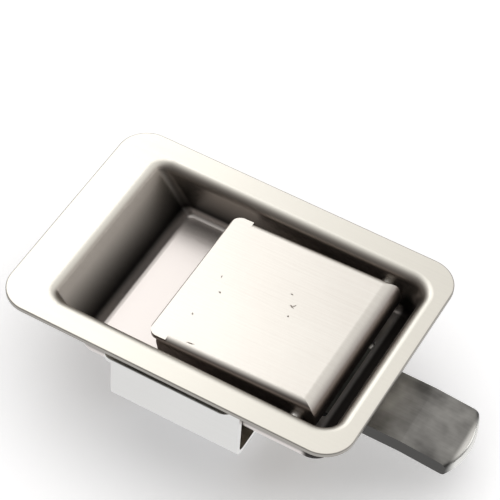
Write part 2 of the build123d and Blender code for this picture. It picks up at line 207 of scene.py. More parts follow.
depth.inputs["From Max"].default_value = 0.45
depth.inputs["To Min"].default_value = 0.30
depth.inputs["To Max"].default_value = 0.95
links.new(split.outputs["Y"], depth.inputs["Value"])
level = nodes.new("ShaderNodeMath")
level.operation = "MULTIPLY"
links.new(ceiling.outputs[0], level.inputs[0])
links.new(depth.outputs[0], level.inputs[1])
links.new(level.outputs[0], room.inputs["Strength"])
room.inputs["Color"].default_value = (1.0, 0.985, 0.96, 1)
links.new(room_rays.outputs["Is Camera Ray"], room_shown.inputs[0])
links.new(room.outputs[0], room_shown.inputs[1])
links.new(white_room.outputs[0], room_shown.inputs[2])
links.new(room_shown.outputs[0], world_out.inputs["Surface"])


# ---- Pan -------------------------------------------------------------------------------------
# The dished tray and its flange: one 1.5 mm stainless sheet drawn to depth and trimmed. The
# faces are brushed along X, and the walls carry painted shade that darkens towards the floor.
def brushed_grain_group():
    """Fine lines along X over soft cloudy patches; every steel surface here uses it."""
    group = bpy.data.node_groups.new("brushed_grain", "ShaderNodeTree")
    face = group.interface
    for name, value in (
        ("Line Length", 14.0),
        ("Line Width", 1500.0),
        ("Cloud Scale", 28.0),
    ):
        socket = face.new_socket(name, in_out="INPUT", socket_type="NodeSocketFloat")
        socket.default_value = value
    face.new_socket("Lines", in_out="OUTPUT", socket_type="NodeSocketFloat")
    face.new_socket("Clouds", in_out="OUTPUT", socket_type="NodeSocketFloat")
    n, k = group.nodes, group.links
    take = n.new("NodeGroupInput")
    give = n.new("NodeGroupOutput")
    place = n.new("ShaderNodeTexCoord")
    stretch = n.new("ShaderNodeCombineXYZ")
    k.new(take.outputs["Line Length"], stretch.inputs[0])
    k.new(take.outputs["Line Width"], stretch.inputs[1])
    k.new(take.outputs["Line Width"], stretch.inputs[2])
    scaled = n.new("ShaderNodeVectorMath")
    scaled.operation = "MULTIPLY"
    k.new(place.outputs["Object"], scaled.inputs[0])
    k.new(stretch.outputs[0], scaled.inputs[1])
    lines = n.new("ShaderNodeTexNoise")
    lines.inputs["Scale"].default_value = 1.0
    lines.inputs["Detail"].default_value = 5.0
    lines.inputs["Roughness"].default_value = 0.6
    k.new(scaled.outputs[0], lines.inputs["Vector"])
    k.new(lines.outputs[0], give.inputs["Lines"])
    clouds = n.new("ShaderNodeTexNoise")
    clouds.inputs["Detail"].default_value = 3.0
    k.new(take.outputs["Cloud Scale"], clouds.inputs["Scale"])
    k.new(place.outputs["Object"], clouds.inputs["Vector"])
    k.new(clouds.outputs[0], give.inputs["Clouds"])
    return group


grain_group = brushed_grain_group()


# How level a face is where the painted wall shade is full and gone, and its darkest and lightest
# heights.
facing_shade_full, facing_shade_gone = 0.66, 0.98
wall_foot_z, wall_top_z = -0.0112, -0.0020


def painted_wall_shade_group():
    """Polished colour on level faces, and painted shade on the walls that darkens towards their
    foot.
    """
    group = bpy.data.node_groups.new("painted_wall_shade", "ShaderNodeTree")
    for name in ("Polished", "Upper Wall Shade", "Lower Wall Shade"):
        group.interface.new_socket(name, in_out="INPUT", socket_type="NodeSocketColor")
    group.interface.new_socket("Colour", in_out="OUTPUT", socket_type="NodeSocketColor")
    n, k = group.nodes, group.links
    take, give = n.new("NodeGroupInput"), n.new("NodeGroupOutput")
    surface = n.new("ShaderNodeNewGeometry")
    facing = n.new("ShaderNodeSeparateXYZ")
    level = n.new("ShaderNodeMath")
    level.operation = "ABSOLUTE"
    facing_shade = n.new("ShaderNodeMapRange")
    facing_shade.interpolation_type = "SMOOTHSTEP"
    facing_shade.inputs["From Min"].default_value = facing_shade_full
    facing_shade.inputs["From Max"].default_value = facing_shade_gone
    k.new(surface.outputs["Normal"], facing.inputs[0])
    k.new(facing.outputs["Z"], level.inputs[0])
    k.new(level.outputs[0], facing_shade.inputs["Value"])
    place = n.new("ShaderNodeTexCoord")
    height = n.new("ShaderNodeSeparateXYZ")
    shade_height = n.new("ShaderNodeMapRange")
    shade_height.inputs["From Min"].default_value = wall_foot_z
    shade_height.inputs["From Max"].default_value = wall_top_z
    k.new(place.outputs["Object"], height.inputs[0])
    k.new(height.outputs["Z"], shade_height.inputs["Value"])
    wall = n.new("ShaderNodeMix")
    wall.data_type = "RGBA"
    k.new(shade_height.outputs[0], wall.inputs["Factor"])
    k.new(take.outputs["Lower Wall Shade"], wall.inputs["A"])
    k.new(take.outputs["Upper Wall Shade"], wall.inputs["B"])
    sheet = n.new("ShaderNodeMix")
    sheet.data_type = "RGBA"
    k.new(facing_shade.outputs[0], sheet.inputs["Factor"])
    k.new(wall.outputs["Result"], sheet.inputs["A"])
    k.new(take.outputs["Polished"], sheet.inputs["B"])
    k.new(sheet.outputs["Result"], give.inputs["Colour"])
    return group


wall_shade_group = painted_wall_shade_group()


def steel(
    name,
    light,
    dark,
    rough,
    rough_spread,
    line_strength,
    cloud_strength,
    bump,
    lines=(14.0, 1500.0),
    clouds=28.0,
    wall_shades=None,
):
    """A brushed metal between a light and a dark tone, with an upper and a lower wall colour of
    painted shade.
    """
    material = bpy.data.materials.new(name)
    material.use_nodes = True
    n, k = material.node_tree.nodes, material.node_tree.links
    shader = n["Principled BSDF"]
    shader.inputs["Metallic"].default_value = 1.0
    grain = n.new("ShaderNodeGroup")
    grain.node_tree = grain_group
    grain.inputs["Line Length"].default_value = lines[0]
    grain.inputs["Line Width"].default_value = lines[1]
    grain.inputs["Cloud Scale"].default_value = clouds
    weigh_lines = n.new("ShaderNodeMath")
    weigh_lines.operation = "MULTIPLY_ADD"
    weigh_lines.inputs[1].default_value = line_strength
    weigh_lines.inputs[2].default_value = 0.5 - line_strength / 2 - cloud_strength / 2
    weigh_clouds = n.new("ShaderNodeMath")
    weigh_clouds.operation = "MULTIPLY_ADD"
    weigh_clouds.inputs[1].default_value = cloud_strength
    k.new(grain.outputs["Lines"], weigh_lines.inputs[0])
    k.new(grain.outputs["Clouds"], weigh_clouds.inputs[0])
    k.new(weigh_lines.outputs[0], weigh_clouds.inputs[2])
    tone = n.new("ShaderNodeMix")
    tone.data_type = "RGBA"
    tone.inputs["A"].default_value = (*dark, 1)
    tone.inputs["B"].default_value = (*light, 1)
    k.new(weigh_clouds.outputs[0], tone.inputs["Factor"])
    if wall_shades is None:
        k.new(tone.outputs["Result"], shader.inputs["Base Color"])
    else:
        wall_shade_node = n.new("ShaderNodeGroup")
        wall_shade_node.node_tree = wall_shade_group
        wall_shade_node.inputs["Upper Wall Shade"].default_value = (*wall_shades[0], 1)
        wall_shade_node.inputs["Lower Wall Shade"].default_value = (*wall_shades[1], 1)
        k.new(tone.outputs["Result"], wall_shade_node.inputs["Polished"])
        k.new(wall_shade_node.outputs["Colour"], shader.inputs["Base Color"])
    gloss = n.new("ShaderNodeMath")
    gloss.operation = "MULTIPLY_ADD"
    gloss.inputs[1].default_value = rough_spread
    gloss.inputs[2].default_value = rough - rough_spread / 2
    k.new(grain.outputs["Lines"], gloss.inputs[0])
    k.new(gloss.outputs[0], shader.inputs["Roughness"])
    relief = n.new("ShaderNodeBump")
    relief.inputs["Strength"].default_value = bump
    relief.inputs["Distance"].default_value = 0.00003
    k.new(grain.outputs["Lines"], relief.inputs["Height"])
    k.new(relief.outputs[0], shader.inputs["Normal"])
    return material


def dress(node, material):
    """Puts a material on every slot of a CAD node."""
    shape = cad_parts[node]
    shape.data.materials.clear()
    shape.data.materials.append(material)


# The pan's wall colours are painted shade, grey at the top of a wall and near black at its foot.
pan_steel = steel(
    "pan_steel",
    light=(0.96, 0.935, 0.855),
    dark=(0.83, 0.80, 0.74),
    rough=0.38,
    rough_spread=0.12,
    line_strength=0.5,
    cloud_strength=0.4,
    bump=0.35,
    wall_shades=((0.56, 0.51, 0.46), (0.04, 0.036, 0.034)),
)
dress("pan", pan_steel)


def stain_mask_group():
    """Full past a start and an end station along each of the three axes at once."""
    group = bpy.data.node_groups.new("stain_mask", "ShaderNodeTree")
    for name in ("Start", "Full"):
        group.interface.new_socket(name, in_out="INPUT", socket_type="NodeSocketVector")
    group.interface.new_socket("Stain", in_out="OUTPUT", socket_type="NodeSocketFloat")
    n, k = group.nodes, group.links
    take, give = n.new("NodeGroupInput"), n.new("NodeGroupOutput")
    place = n.new("ShaderNodeTexCoord")
    along = n.new("ShaderNodeSeparateXYZ")
    start = n.new("ShaderNodeSeparateXYZ")
    full = n.new("ShaderNodeSeparateXYZ")
    k.new(place.outputs["Object"], along.inputs[0])
    k.new(take.outputs["Start"], start.inputs[0])
    k.new(take.outputs["Full"], full.inputs[0])
    edges = []
    for axis in "XYZ":
        edge = n.new("ShaderNodeMapRange")
        edge.interpolation_type = "SMOOTHSTEP"
        k.new(along.outputs[axis], edge.inputs["Value"])
        k.new(start.outputs[axis], edge.inputs["From Min"])
        k.new(full.outputs[axis], edge.inputs["From Max"])
        edges.append(edge)
    first_two = n.new("ShaderNodeMath")
    first_two.operation = "MULTIPLY"
    all_three = n.new("ShaderNodeMath")
    all_three.operation = "MULTIPLY"
    k.new(edges[0].outputs[0], first_two.inputs[0])
    k.new(edges[1].outputs[0], first_two.inputs[1])
    k.new(first_two.outputs[0], all_three.inputs[0])
    k.new(edges[2].outputs[0], all_three.inputs[1])
    k.new(all_three.outputs[0], give.inputs["Stain"])
    return group


stain_group = stain_mask_group()


def stain(material, stations, colour, rough):
    """Takes a metal towards another colour and roughness past its stations along the axes."""
    everywhere = (-2.0, -1.0)
    n, k = material.node_tree.nodes, material.node_tree.links
    shader = n["Principled BSDF"]
    mask = n.new("ShaderNodeGroup")
    mask.node_tree = stain_group
    limits = [stations.get(axis, everywhere) for axis in "XYZ"]
    mask.inputs["Start"].default_value = [start for start, full in limits]
    mask.inputs["Full"].default_value = [full for start, full in limits]
    for socket, value, kind in (
        ("Base Color", (*colour, 1), "RGBA"),
        ("Roughness", rough, "FLOAT"),
    ):
        stained = n.new("ShaderNodeMix")
        stained.data_type = kind
        k.new(mask.outputs["Stain"], stained.inputs["Factor"])
        k.new(shader.inputs[socket].links[0].from_socket, stained.inputs["A"])
        stained.inputs["B"].default_value = value
        k.new(stained.outputs["Result"], shader.inputs[socket])


# The floor keeps a pinker tone from the press, and painted shade darkens the well behind the heel
# of the paddle.
floor_tone_z = (-0.0115, -0.0138)
heel_shade_x = (0.0402, 0.0424)
heel_shade_z = (-0.0050, -0.0095)
stain(pan_steel, {"Z": floor_tone_z}, colour=(0.80, 0.75, 0.725), rough=0.36)
stain(
    pan_steel,
    {"X": heel_shade_x, "Z": heel_shade_z},
    colour=(0.045, 0.04, 0.037),
    rough=0.6,
)


def painted_edge_outline(material, length, width, corner, border, colour):
    """Darkens a thin border round a flange with painted shade that outlines its edge."""
    n, k = material.node_tree.nodes, material.node_tree.links
    shader = n["Principled BSDF"]
    place = n.new("ShaderNodeTexCoord")
    quarter = n.new("ShaderNodeVectorMath")
    quarter.operation = "ABSOLUTE"
    inside = n.new("ShaderNodeVectorMath")
    inside.operation = "SUBTRACT"
    inside.inputs[1].default_value = (length / 2 - corner, width / 2 - corner, 1)
    outer = n.new("ShaderNodeVectorMath")
    outer.operation = "MAXIMUM"
    outer.inputs[1].default_value = (0, 0, 0)
    reach = n.new("ShaderNodeVectorMath")
    reach.operation = "LENGTH"
    rim = n.new("ShaderNodeMapRange")
    rim.inputs["From Min"].default_value = corner - border
    rim.inputs["From Max"].default_value = corner - border * 0.4
    shade = n.new("ShaderNodeMix")
    shade.data_type = "RGBA"
    shade.inputs["B"].default_value = (*colour, 1)
    k.new(place.outputs["Object"], quarter.inputs[0])
    k.new(quarter.outputs[0], inside.inputs[0])
    k.new(inside.outputs[0], outer.inputs[0])
    k.new(outer.outputs[0], reach.inputs[0])
    k.new(reach.outputs["Value"], rim.inputs["Value"])
    k.new(rim.outputs[0], shade.inputs["Factor"])
    k.new(shader.inputs["Base Color"].links[0].from_socket, shade.inputs["A"])
    k.new(shade.outputs["Result"], shader.inputs["Base Color"])


pan_low, pan_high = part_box("pan")
painted_edge_outline(
    pan_steel,
    pan_high[0] - pan_low[0],
    pan_high[1] - pan_low[1],
    corner=0.0095,
    border=0.00045,
    colour=(0.42, 0.40, 0.37),
)


# ---- Paddle and lever yoke -------------------------------------------------------------------
# The finger paddle is folded from 1.5 mm stainless with a rolled heel and two side skirts. The
# yoke under it is a plain pressing, welded to it, whose two arms reach down to the bolt.
# The skirts are darkened with painted shade.
skirt_shade = (0.32, 0.28, 0.26)
paddle_steel = steel(
    "paddle_steel",
    light=(0.93, 0.905, 0.85),
    dark=(0.76, 0.715, 0.665),
    rough=0.36,
    rough_spread=0.12,
    line_strength=0.9,
    cloud_strength=0.5,
    bump=0.8,
    wall_shades=(skirt_shade, skirt_shade),
)
dress("paddle", paddle_steel)

# A narrow band of painted shade darkens and dulls the cut end of the finger edge.
finger_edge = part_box("paddle")[0][0]
edge_shade_start = 0.00032
edge_shade_full = 0.00012
stain(
    paddle_steel,
    {"X": (finger_edge + edge_shade_start, finger_edge + edge_shade_full)},
    colour=(0.26, 0.235, 0.215),
    rough=0.5,
)


def scuff_group():
    """One short scratch or pit: full inside a small turned ellipse with a ragged rim."""
    group = bpy.data.node_groups.new("scuff", "ShaderNodeTree")
    face = group.interface
    face.new_socket("Place", in_out="INPUT", socket_type="NodeSocketVector")
    face.new_socket("Turn", in_out="INPUT", socket_type="NodeSocketFloat")
    face.new_socket("Size", in_out="INPUT", socket_type="NodeSocketVector")
    face.new_socket("Mark", in_out="OUTPUT", socket_type="NodeSocketFloat")
    n, k = group.nodes, group.links
    take, give = n.new("NodeGroupInput"), n.new("NodeGroupOutput")
    place = n.new("ShaderNodeTexCoord")
    apart = n.new("ShaderNodeVectorMath")
    apart.operation = "SUBTRACT"
    turned = n.new("ShaderNodeVectorRotate")
    turned.rotation_type = "Z_AXIS"
    scaled = n.new("ShaderNodeVectorMath")
    scaled.operation = "DIVIDE"
    reach = n.new("ShaderNodeVectorMath")
    reach.operation = "LENGTH"
    ragged = n.new("ShaderNodeTexNoise")
    ragged.inputs["Scale"].default_value = 2600.0
    rim = n.new("ShaderNodeMath")
    rim.operation = "ADD"
    mark = n.new("ShaderNodeMapRange")
    mark.inputs["From Min"].default_value = 1.5
    mark.inputs["From Max"].default_value = 0.9
    k.new(place.outputs["Object"], apart.inputs[0])
    k.new(take.outputs["Place"], apart.inputs[1])
    k.new(apart.outputs[0], turned.inputs["Vector"])
    k.new(take.outputs["Turn"], turned.inputs["Angle"])
    k.new(turned.outputs[0], scaled.inputs[0])
    k.new(take.outputs["Size"], scaled.inputs[1])
    k.new(scaled.outputs[0], reach.inputs[0])
    k.new(place.outputs["Object"], ragged.inputs["Vector"])
    k.new(reach.outputs["Value"], rim.inputs[0])
    k.new(ragged.outputs[0], rim.inputs[1])
    k.new(rim.outputs[0], mark.inputs["Value"])
    k.new(mark.outputs[0], give.inputs["Mark"])
    return group


scuff = scuff_group()


def scuff_up(material, marks, colour):
    """Small scratches and pits in a metal, each at a place with a turn, a length and a width."""
    n, k = material.node_tree.nodes, material.node_tree.links
    shader = n["Principled BSDF"]
    total = None
    for along, across, turn, long, wide in marks:
        one = n.new("ShaderNodeGroup")
        one.node_tree = scuff
        one.inputs["Place"].default_value = (along, across, 0.0)
        one.inputs["Turn"].default_value = math.radians(turn)
        one.inputs["Size"].default_value = (long, wide, 0.004)
        if total is not None:
            most = n.new("ShaderNodeMath")
            most.operation = "MAXIMUM"
            k.new(total, most.inputs[0])
            k.new(one.outputs["Mark"], most.inputs[1])
            total = most.outputs[0]
        else:
            total = one.outputs["Mark"]
    shade = n.new("ShaderNodeMix")
    shade.data_type = "RGBA"
    k.new(total, shade.inputs["Factor"])
    k.new(shader.inputs["Base Color"].links[0].from_socket, shade.inputs["A"])
    shade.inputs["B"].default_value = (*colour, 1)
    k.new(shade.outputs["Result"], shader.inputs["Base Color"])
    pit = n.new("ShaderNodeBump")
    pit.invert = True
    pit.inputs["Strength"].default_value = 0.8
    pit.inputs["Distance"].default_value = 0.00012
    k.new(total, pit.inputs["Height"])
    k.new(shader.inputs["Normal"].links[0].from_socket, pit.inputs["Normal"])
    k.new(pit.outputs[0], shader.inputs["Normal"])


scuff_up(
    paddle_steel,
    (
        (-0.0001, -0.0230, -8, 0.0014, 0.00022),
        (-0.0022, -0.0027, 20, 0.0005, 0.00030),
        (-0.0049, -0.0134, 60, 0.0004, 0.00022),
        (-0.0047, 0.0027, 80, 0.0005, 0.00018),
        (0.0181, 0.0030, 25, 0.0009, 0.00026),
        (0.0187, 0.0036, -50, 0.0005, 0.00020),
        (0.0160, 0.0070, 10, 0.0005, 0.00022),
        (0.0189, -0.0006, 0, 0.0004, 0.00030),
        (0.0085, -0.0262, 0, 0.0005, 0.00040),
    ),
    (0.26, 0.21, 0.18),
)
yoke_steel = steel(
    "yoke_steel",
    light=(0.66, 0.65, 0.62),
    dark=(0.42, 0.41, 0.40),
    rough=0.40,
    rough_spread=0.15,
    line_strength=0.3,
    cloud_strength=0.6,
    bump=0.3,
)
dress("paddle_yoke", yoke_steel)


# ---- Hinge pin and return springs ------------------------------------------------------------
# The pin crosses the well and is peened over outside both walls. Two springs of 1.2 mm round
# wire are wound on it: the outer leg stands on the well floor and the inner one lifts the heel.
pin_steel = steel(
    "pin_steel",
    light=(0.74, 0.73, 0.70),
    dark=(0.48, 0.47, 0.45),
    rough=0.30,
    rough_spread=0.1,
    line_strength=0.2,
    cloud_strength=0.6,
    bump=0.2,
)
dress("hinge_pin", pin_steel)
spring_steel = steel(
    "spring_steel",
    light=(0.70, 0.69, 0.66),
    dark=(0.38, 0.37, 0.35),
    rough=0.28,
    rough_spread=0.1,
    line_strength=0.2,
    cloud_strength=0.6,
    bump=0.2,
)

pin_low, pin_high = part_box("hinge_pin")
pin_x, pin_z = (pin_low[0] + pin_high[0]) / 2, (pin_low[2] + pin_high[2]) / 2
wire_radius = 0.0006
coil_radius = 0.00295
coil_pitch = 0.00135
coil_turns = 4
coil_inner_y = 0.0173
wire_drift = coil_pitch / (2 * math.pi * coil_radius)
wire_slack = 0.000001


def pick(obj, kind, wanted):
    """In edit mode, selects the vertices, edges or polygons that a test accepts."""
    bpy.ops.object.mode_set(mode="OBJECT")
    for items in (obj.data.vertices, obj.data.edges, obj.data.polygons):
        items.foreach_set("select", [False] * len(items))
    bpy.context.tool_settings.mesh_select_mode = (
        kind == "vertices",
        kind == "edges",
        kind == "polygons",
    )
    for item in getattr(obj.data, kind):
        item.select = wanted(item)
    bpy.ops.object.mode_set(mode="EDIT")


def apply_modifiers(obj):
    """Applies every modifier, in order."""
    bpy.ops.object.mode_set(mode="OBJECT")
    for modifier in list(obj.modifiers):
        bpy.ops.object.modifier_apply(modifier=modifier.name)


def finish_piece(obj, name, material, smooth=35):
    """Closes and smooths a mesh, sets its place in the mesh and gives it its material."""
    bpy.ops.object.mode_set(mode="EDIT")
    bpy.ops.mesh.select_all(action="SELECT")
    bpy.ops.mesh.remove_doubles(threshold=0.000002)
    bpy.ops.mesh.normals_make_consistent(inside=False)
    bpy.ops.object.mode_set(mode="OBJECT")
    bpy.ops.object.transform_apply(location=True, rotation=True, scale=True)
    bpy.ops.object.shade_smooth_by_angle(angle=math.radians(smooth))
    obj.name = name
    obj.data.materials.clear()
    obj.data.materials.append(material)


def wind_spring(name, node, side):
    """One return spring: a wire circle wound round the pin, with a leg at each end."""
    low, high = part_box(node)
    bpy.ops.object.select_all(action="DESELECT")
    bpy.ops.mesh.primitive_circle_add(
        vertices=14, radius=wire_radius, location=(pin_x, side * coil_inner_y, pin_z)
    )
    coil = bpy.context.object
    bpy.ops.object.mode_set(mode="EDIT")
    bpy.ops.transform.translate(value=(coil_radius, 0, 0))
    bpy.ops.object.mode_set(mode="OBJECT")
    winding = coil.modifiers.new("winding", "SCREW")
    winding.axis = "Y"
    winding.angle = 2 * math.pi
    winding.screw_offset = side * coil_pitch
    winding.iterations = coil_turns
    winding.steps = winding.render_steps = 32
    apply_modifiers(coil)

    def at_seam(vertex):
        return vertex.co.x > 0 and abs(vertex.co.z) < wire_slack

    def first_ring(vertex):
        return at_seam(vertex) and side * vertex.co.y < wire_radius + wire_slack

    def last_ring(vertex):
        last_y = coil_turns * coil_pitch - wire_radius
        return at_seam(vertex) and side * vertex.co.y > last_y - wire_slack

    for ring, length in ((first_ring, high[2] - pin_z), (last_ring, low[2] - pin_z)):
        pick(coil, "vertices", ring)
        for share in (0.92, 0.08):
            bpy.ops.mesh.extrude_region_move(
                TRANSFORM_OT_translate={
                    "value": (0, -side * wire_drift * length * share, length * share)
                }
            )
        bpy.ops.transform.resize(value=(0.6, 0.6, 1.0))
        bpy.ops.mesh.edge_face_add()
    finish_piece(coil, name, spring_steel, smooth=50)
    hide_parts(node)
    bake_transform(coil)


wind_spring("return_spring_wire_far", "return_spring_far", 1)
wind_spring("return_spring_wire_near", "return_spring_near", -1)


# ---- Latch bolt ------------------------------------------------------------------------------
# A 4.75 mm flat bar, sheared and bent down at its tongue, tumbled dull grey. Its nose is worn
# bright where it rides over the strike.
# The bar's sides are darkened almost to black with painted shade.
bolt_side_shade = (0.085, 0.083, 0.08)
bolt_steel = steel(
    "bolt_steel",
    light=(0.50, 0.49, 0.47),
    dark=(0.10, 0.097, 0.093),
    rough=0.42,
    rough_spread=0.12,
    line_strength=0.25,
    cloud_strength=2.0,
    bump=0.35,
    clouds=80.0,
    wall_shades=(bolt_side_shade, bolt_side_shade),
)
dress("latch_bolt", bolt_steel)


def wear_nose(material, from_x, to_x, colour, rough):
    """Brightens and polishes a metal beyond a station along X, and where its back slides."""
    n, k = material.node_tree.nodes, material.node_tree.links
    shader = n["Principled BSDF"]
    place = n.new("ShaderNodeTexCoord")
    along = n.new("ShaderNodeSeparateXYZ")
    worn = n.new("ShaderNodeMapRange")
    worn.interpolation_type = "SMOOTHSTEP"
    worn.inputs["From Min"].default_value = from_x
    worn.inputs["From Max"].default_value = to_x
    k.new(place.outputs["Object"], along.inputs[0])
    k.new(along.outputs["X"], worn.inputs["Value"])
    surface = n.new("ShaderNodeNewGeometry")
    facing = n.new("ShaderNodeSeparateXYZ")
    slid = n.new("ShaderNodeMapRange")
    slid.inputs["From Min"].default_value = -0.80
    slid.inputs["From Max"].default_value = -0.97
    slid.inputs["To Max"].default_value = 0.8
    either = n.new("ShaderNodeMath")
    either.operation = "MAXIMUM"
    k.new(surface.outputs["Normal"], facing.inputs[0])
    k.new(facing.outputs["Z"], slid.inputs["Value"])
    k.new(worn.outputs[0], either.inputs[0])
    k.new(slid.outputs[0], either.inputs[1])
    bright = n.new("ShaderNodeMix")
    bright.data_type = "RGBA"
    k.new(either.outputs[0], bright.inputs["Factor"])
    k.new(shader.inputs["Base Color"].links[0].from_socket, bright.inputs["A"])
    bright.inputs["B"].default_value = (*colour, 1)
    k.new(bright.outputs["Result"], shader.inputs["Base Color"])
    polish = n.new("ShaderNodeMix")
    k.new(either.outputs[0], polish.inputs["Factor"])
    k.new(shader.inputs["Roughness"].links[0].from_socket, polish.inputs["A"])
    polish.inputs["B"].default_value = rough
    k.new(polish.outputs["Result"], shader.inputs["Roughness"])


nose_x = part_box("latch_bolt")[1][0]
wear_start = 0.0030
wear_full = 0.0012
wear_nose(
    bolt_steel,
    from_x=nose_x - wear_start,
    to_x=nose_x - wear_full,
    colour=(0.80, 0.79, 0.76),
    rough=0.22,
)


# ---- Guide cover and its welds ---------------------------------------------------------------
# A top-hat cover folded from 1.5 mm sheet, held by a plug weld through each end of both feet.
# The welds stand proud as small dull nuggets with straw and brown heat colours around them.
cover_steel = steel(
    "cover_steel",
    light=(0.88, 0.86, 0.81),
    dark=(0.60, 0.58, 0.55),
    rough=0.26,
    rough_spread=0.10,
    line_strength=0.25,
    cloud_strength=0.8,
    bump=0.08,
    lines=(14.0, 600.0),
)
dress("guide_cover", cover_steel)
weld_metal = steel(
    "weld_metal",
    light=(0.70, 0.58, 0.40),
    dark=(0.12, 0.08, 0.055),
    rough=0.26,
    rough_spread=0.2,
    line_strength=0.1,
    cloud_strength=1.8,
    bump=0.6,
    clouds=420.0,
)

weld_stations = (0.0335, 0.0200)
weld_y = 0.0227
weld_radius = 0.0026
weld_rise = 0.0006
weld_slump = 0.30
crater_share = 0.35
crater_shift = 0.0002
crater_depth = 0.00022


def heat_colour_group():
    """How strongly the sheet near one pair of welds took the heat, mirrored about the middle."""
    group = bpy.data.node_groups.new("heat_colour", "ShaderNodeTree")
    face = group.interface
    face.new_socket("Place", in_out="INPUT", socket_type="NodeSocketVector")
    face.new_socket("Reach", in_out="INPUT", socket_type="NodeSocketFloat")
    face.new_socket("Heat", in_out="OUTPUT", socket_type="NodeSocketFloat")
    n, k = group.nodes, group.links
    take, give = n.new("NodeGroupInput"), n.new("NodeGroupOutput")
    place = n.new("ShaderNodeTexCoord")
    mirrored_place = n.new("ShaderNodeVectorMath")
    mirrored_place.operation = "ABSOLUTE"
    flat = n.new("ShaderNodeVectorMath")
    flat.operation = "MULTIPLY"
    flat.inputs[1].default_value = (1, 1, 0)
    apart = n.new("ShaderNodeVectorMath")
    apart.operation = "DISTANCE"
    uneven = n.new("ShaderNodeTexNoise")
    uneven.inputs["Scale"].default_value = 420.0
    wander = n.new("ShaderNodeMath")
    wander.operation = "MULTIPLY_ADD"
    wander.inputs[1].default_value = 0.0022
    fade = n.new("ShaderNodeMapRange")
    fade.interpolation_type = "SMOOTHSTEP"
    fade.inputs["From Min"].default_value = 0.0
    fade.inputs["To Min"].default_value = 1.0
    fade.inputs["To Max"].default_value = 0.0
    k.new(place.outputs["Object"], mirrored_place.inputs[0])
    k.new(mirrored_place.outputs[0], flat.inputs[0])
    k.new(flat.outputs[0], apart.inputs[0])
    k.new(take.outputs["Place"], apart.inputs[1])
    k.new(place.outputs["Object"], uneven.inputs["Vector"])
    k.new(uneven.outputs[0], wander.inputs[0])
    k.new(apart.outputs["Value"], wander.inputs[2])
    k.new(wander.outputs[0], fade.inputs["Value"])
    k.new(take.outputs["Reach"], fade.inputs["From Max"])
    k.new(fade.outputs[0], give.inputs["Heat"])
    return group


heat_group = heat_colour_group()


def heat_tint(material, stations, across, reach):
    """Straw to brown oxide colours on a metal around its welds."""
    n, k = material.node_tree.nodes, material.node_tree.links
    shader = n["Principled BSDF"]
    hottest = n.new("ShaderNodeMath")
    hottest.operation = "MAXIMUM"
    for index, along in enumerate(stations):
        heated = n.new("ShaderNodeGroup")
        heated.node_tree = heat_group
        heated.inputs["Place"].default_value = (along, across, 0)
        heated.inputs["Reach"].default_value = reach
        k.new(heated.outputs["Heat"], hottest.inputs[index])
    oxide = n.new("ShaderNodeValToRGB")
    oxide.color_ramp.elements[0].position = 0.0
    oxide.color_ramp.elements[0].color = (0.86, 0.80, 0.64, 1)
    oxide.color_ramp.elements[1].position = 0.9
    oxide.color_ramp.elements[1].color = (0.20, 0.14, 0.11, 1)
    brown = oxide.color_ramp.elements.new(0.5)
    brown.color = (0.55, 0.36, 0.18, 1)
    k.new(hottest.outputs[0], oxide.inputs[0])
    tinted = n.new("ShaderNodeMix")
    tinted.data_type = "RGBA"
    strength = n.new("ShaderNodeMapRange")
    strength.inputs["From Max"].default_value = 0.35
    k.new(hottest.outputs[0], strength.inputs["Value"])
    k.new(strength.outputs[0], tinted.inputs["Factor"])
    k.new(shader.inputs["Base Color"].links[0].from_socket, tinted.inputs["A"])
    k.new(oxide.outputs[0], tinted.inputs["B"])
    k.new(tinted.outputs["Result"], shader.inputs["Base Color"])


heat_tint(cover_steel, weld_stations, weld_y, 0.0078)


def lay_welds(name, node, side):
    """A pair of plug welds, each a slumped nugget with a small crater."""
    low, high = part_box(node)
    foot_z = low[2] + weld_rise
    nuggets = []

    def in_crater(vertex):
        reach = math.hypot(vertex.co.x, vertex.co.y)
        return vertex.co.z < 0 and reach < weld_radius * crater_share

    for index, along in enumerate(weld_stations):
        bpy.ops.object.select_all(action="DESELECT")
        bpy.ops.mesh.primitive_uv_sphere_add(
            segments=20, ring_count=12, radius=weld_radius, location=(along, side * weld_y, foot_z)
        )
        nugget = bpy.context.object
        bpy.ops.object.mode_set(mode="EDIT")
        bpy.ops.transform.resize(value=(1.0, 0.94, weld_slump))
        pick(nugget, "vertices", in_crater)
        bpy.ops.transform.translate(value=(crater_shift * side, 0, crater_depth))
        bpy.ops.mesh.select_all(action="SELECT")
        bpy.ops.transform.vertex_random(offset=0.00016, seed=3 + index + (side > 0) * 5)
        bpy.ops.object.mode_set(mode="OBJECT")
        rounding = nugget.modifiers.new("rounding", "SUBSURF")
        rounding.levels = rounding.render_levels = 1
        apply_modifiers(nugget)
        nuggets.append(nugget)
    bpy.ops.object.select_all(action="DESELECT")
    for nugget in nuggets:
        nugget.select_set(True)
    bpy.context.view_layer.objects.active = nuggets[0]
    bpy.ops.object.join()
    welds = bpy.context.object
    finish_piece(welds, name, weld_metal, smooth=180)
    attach(welds, "housing")
    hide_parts(node)


lay_welds("weld_nuggets_far", "cover_weld_far", 1)
lay_welds("weld_nuggets_near", "cover_weld_near", -1)


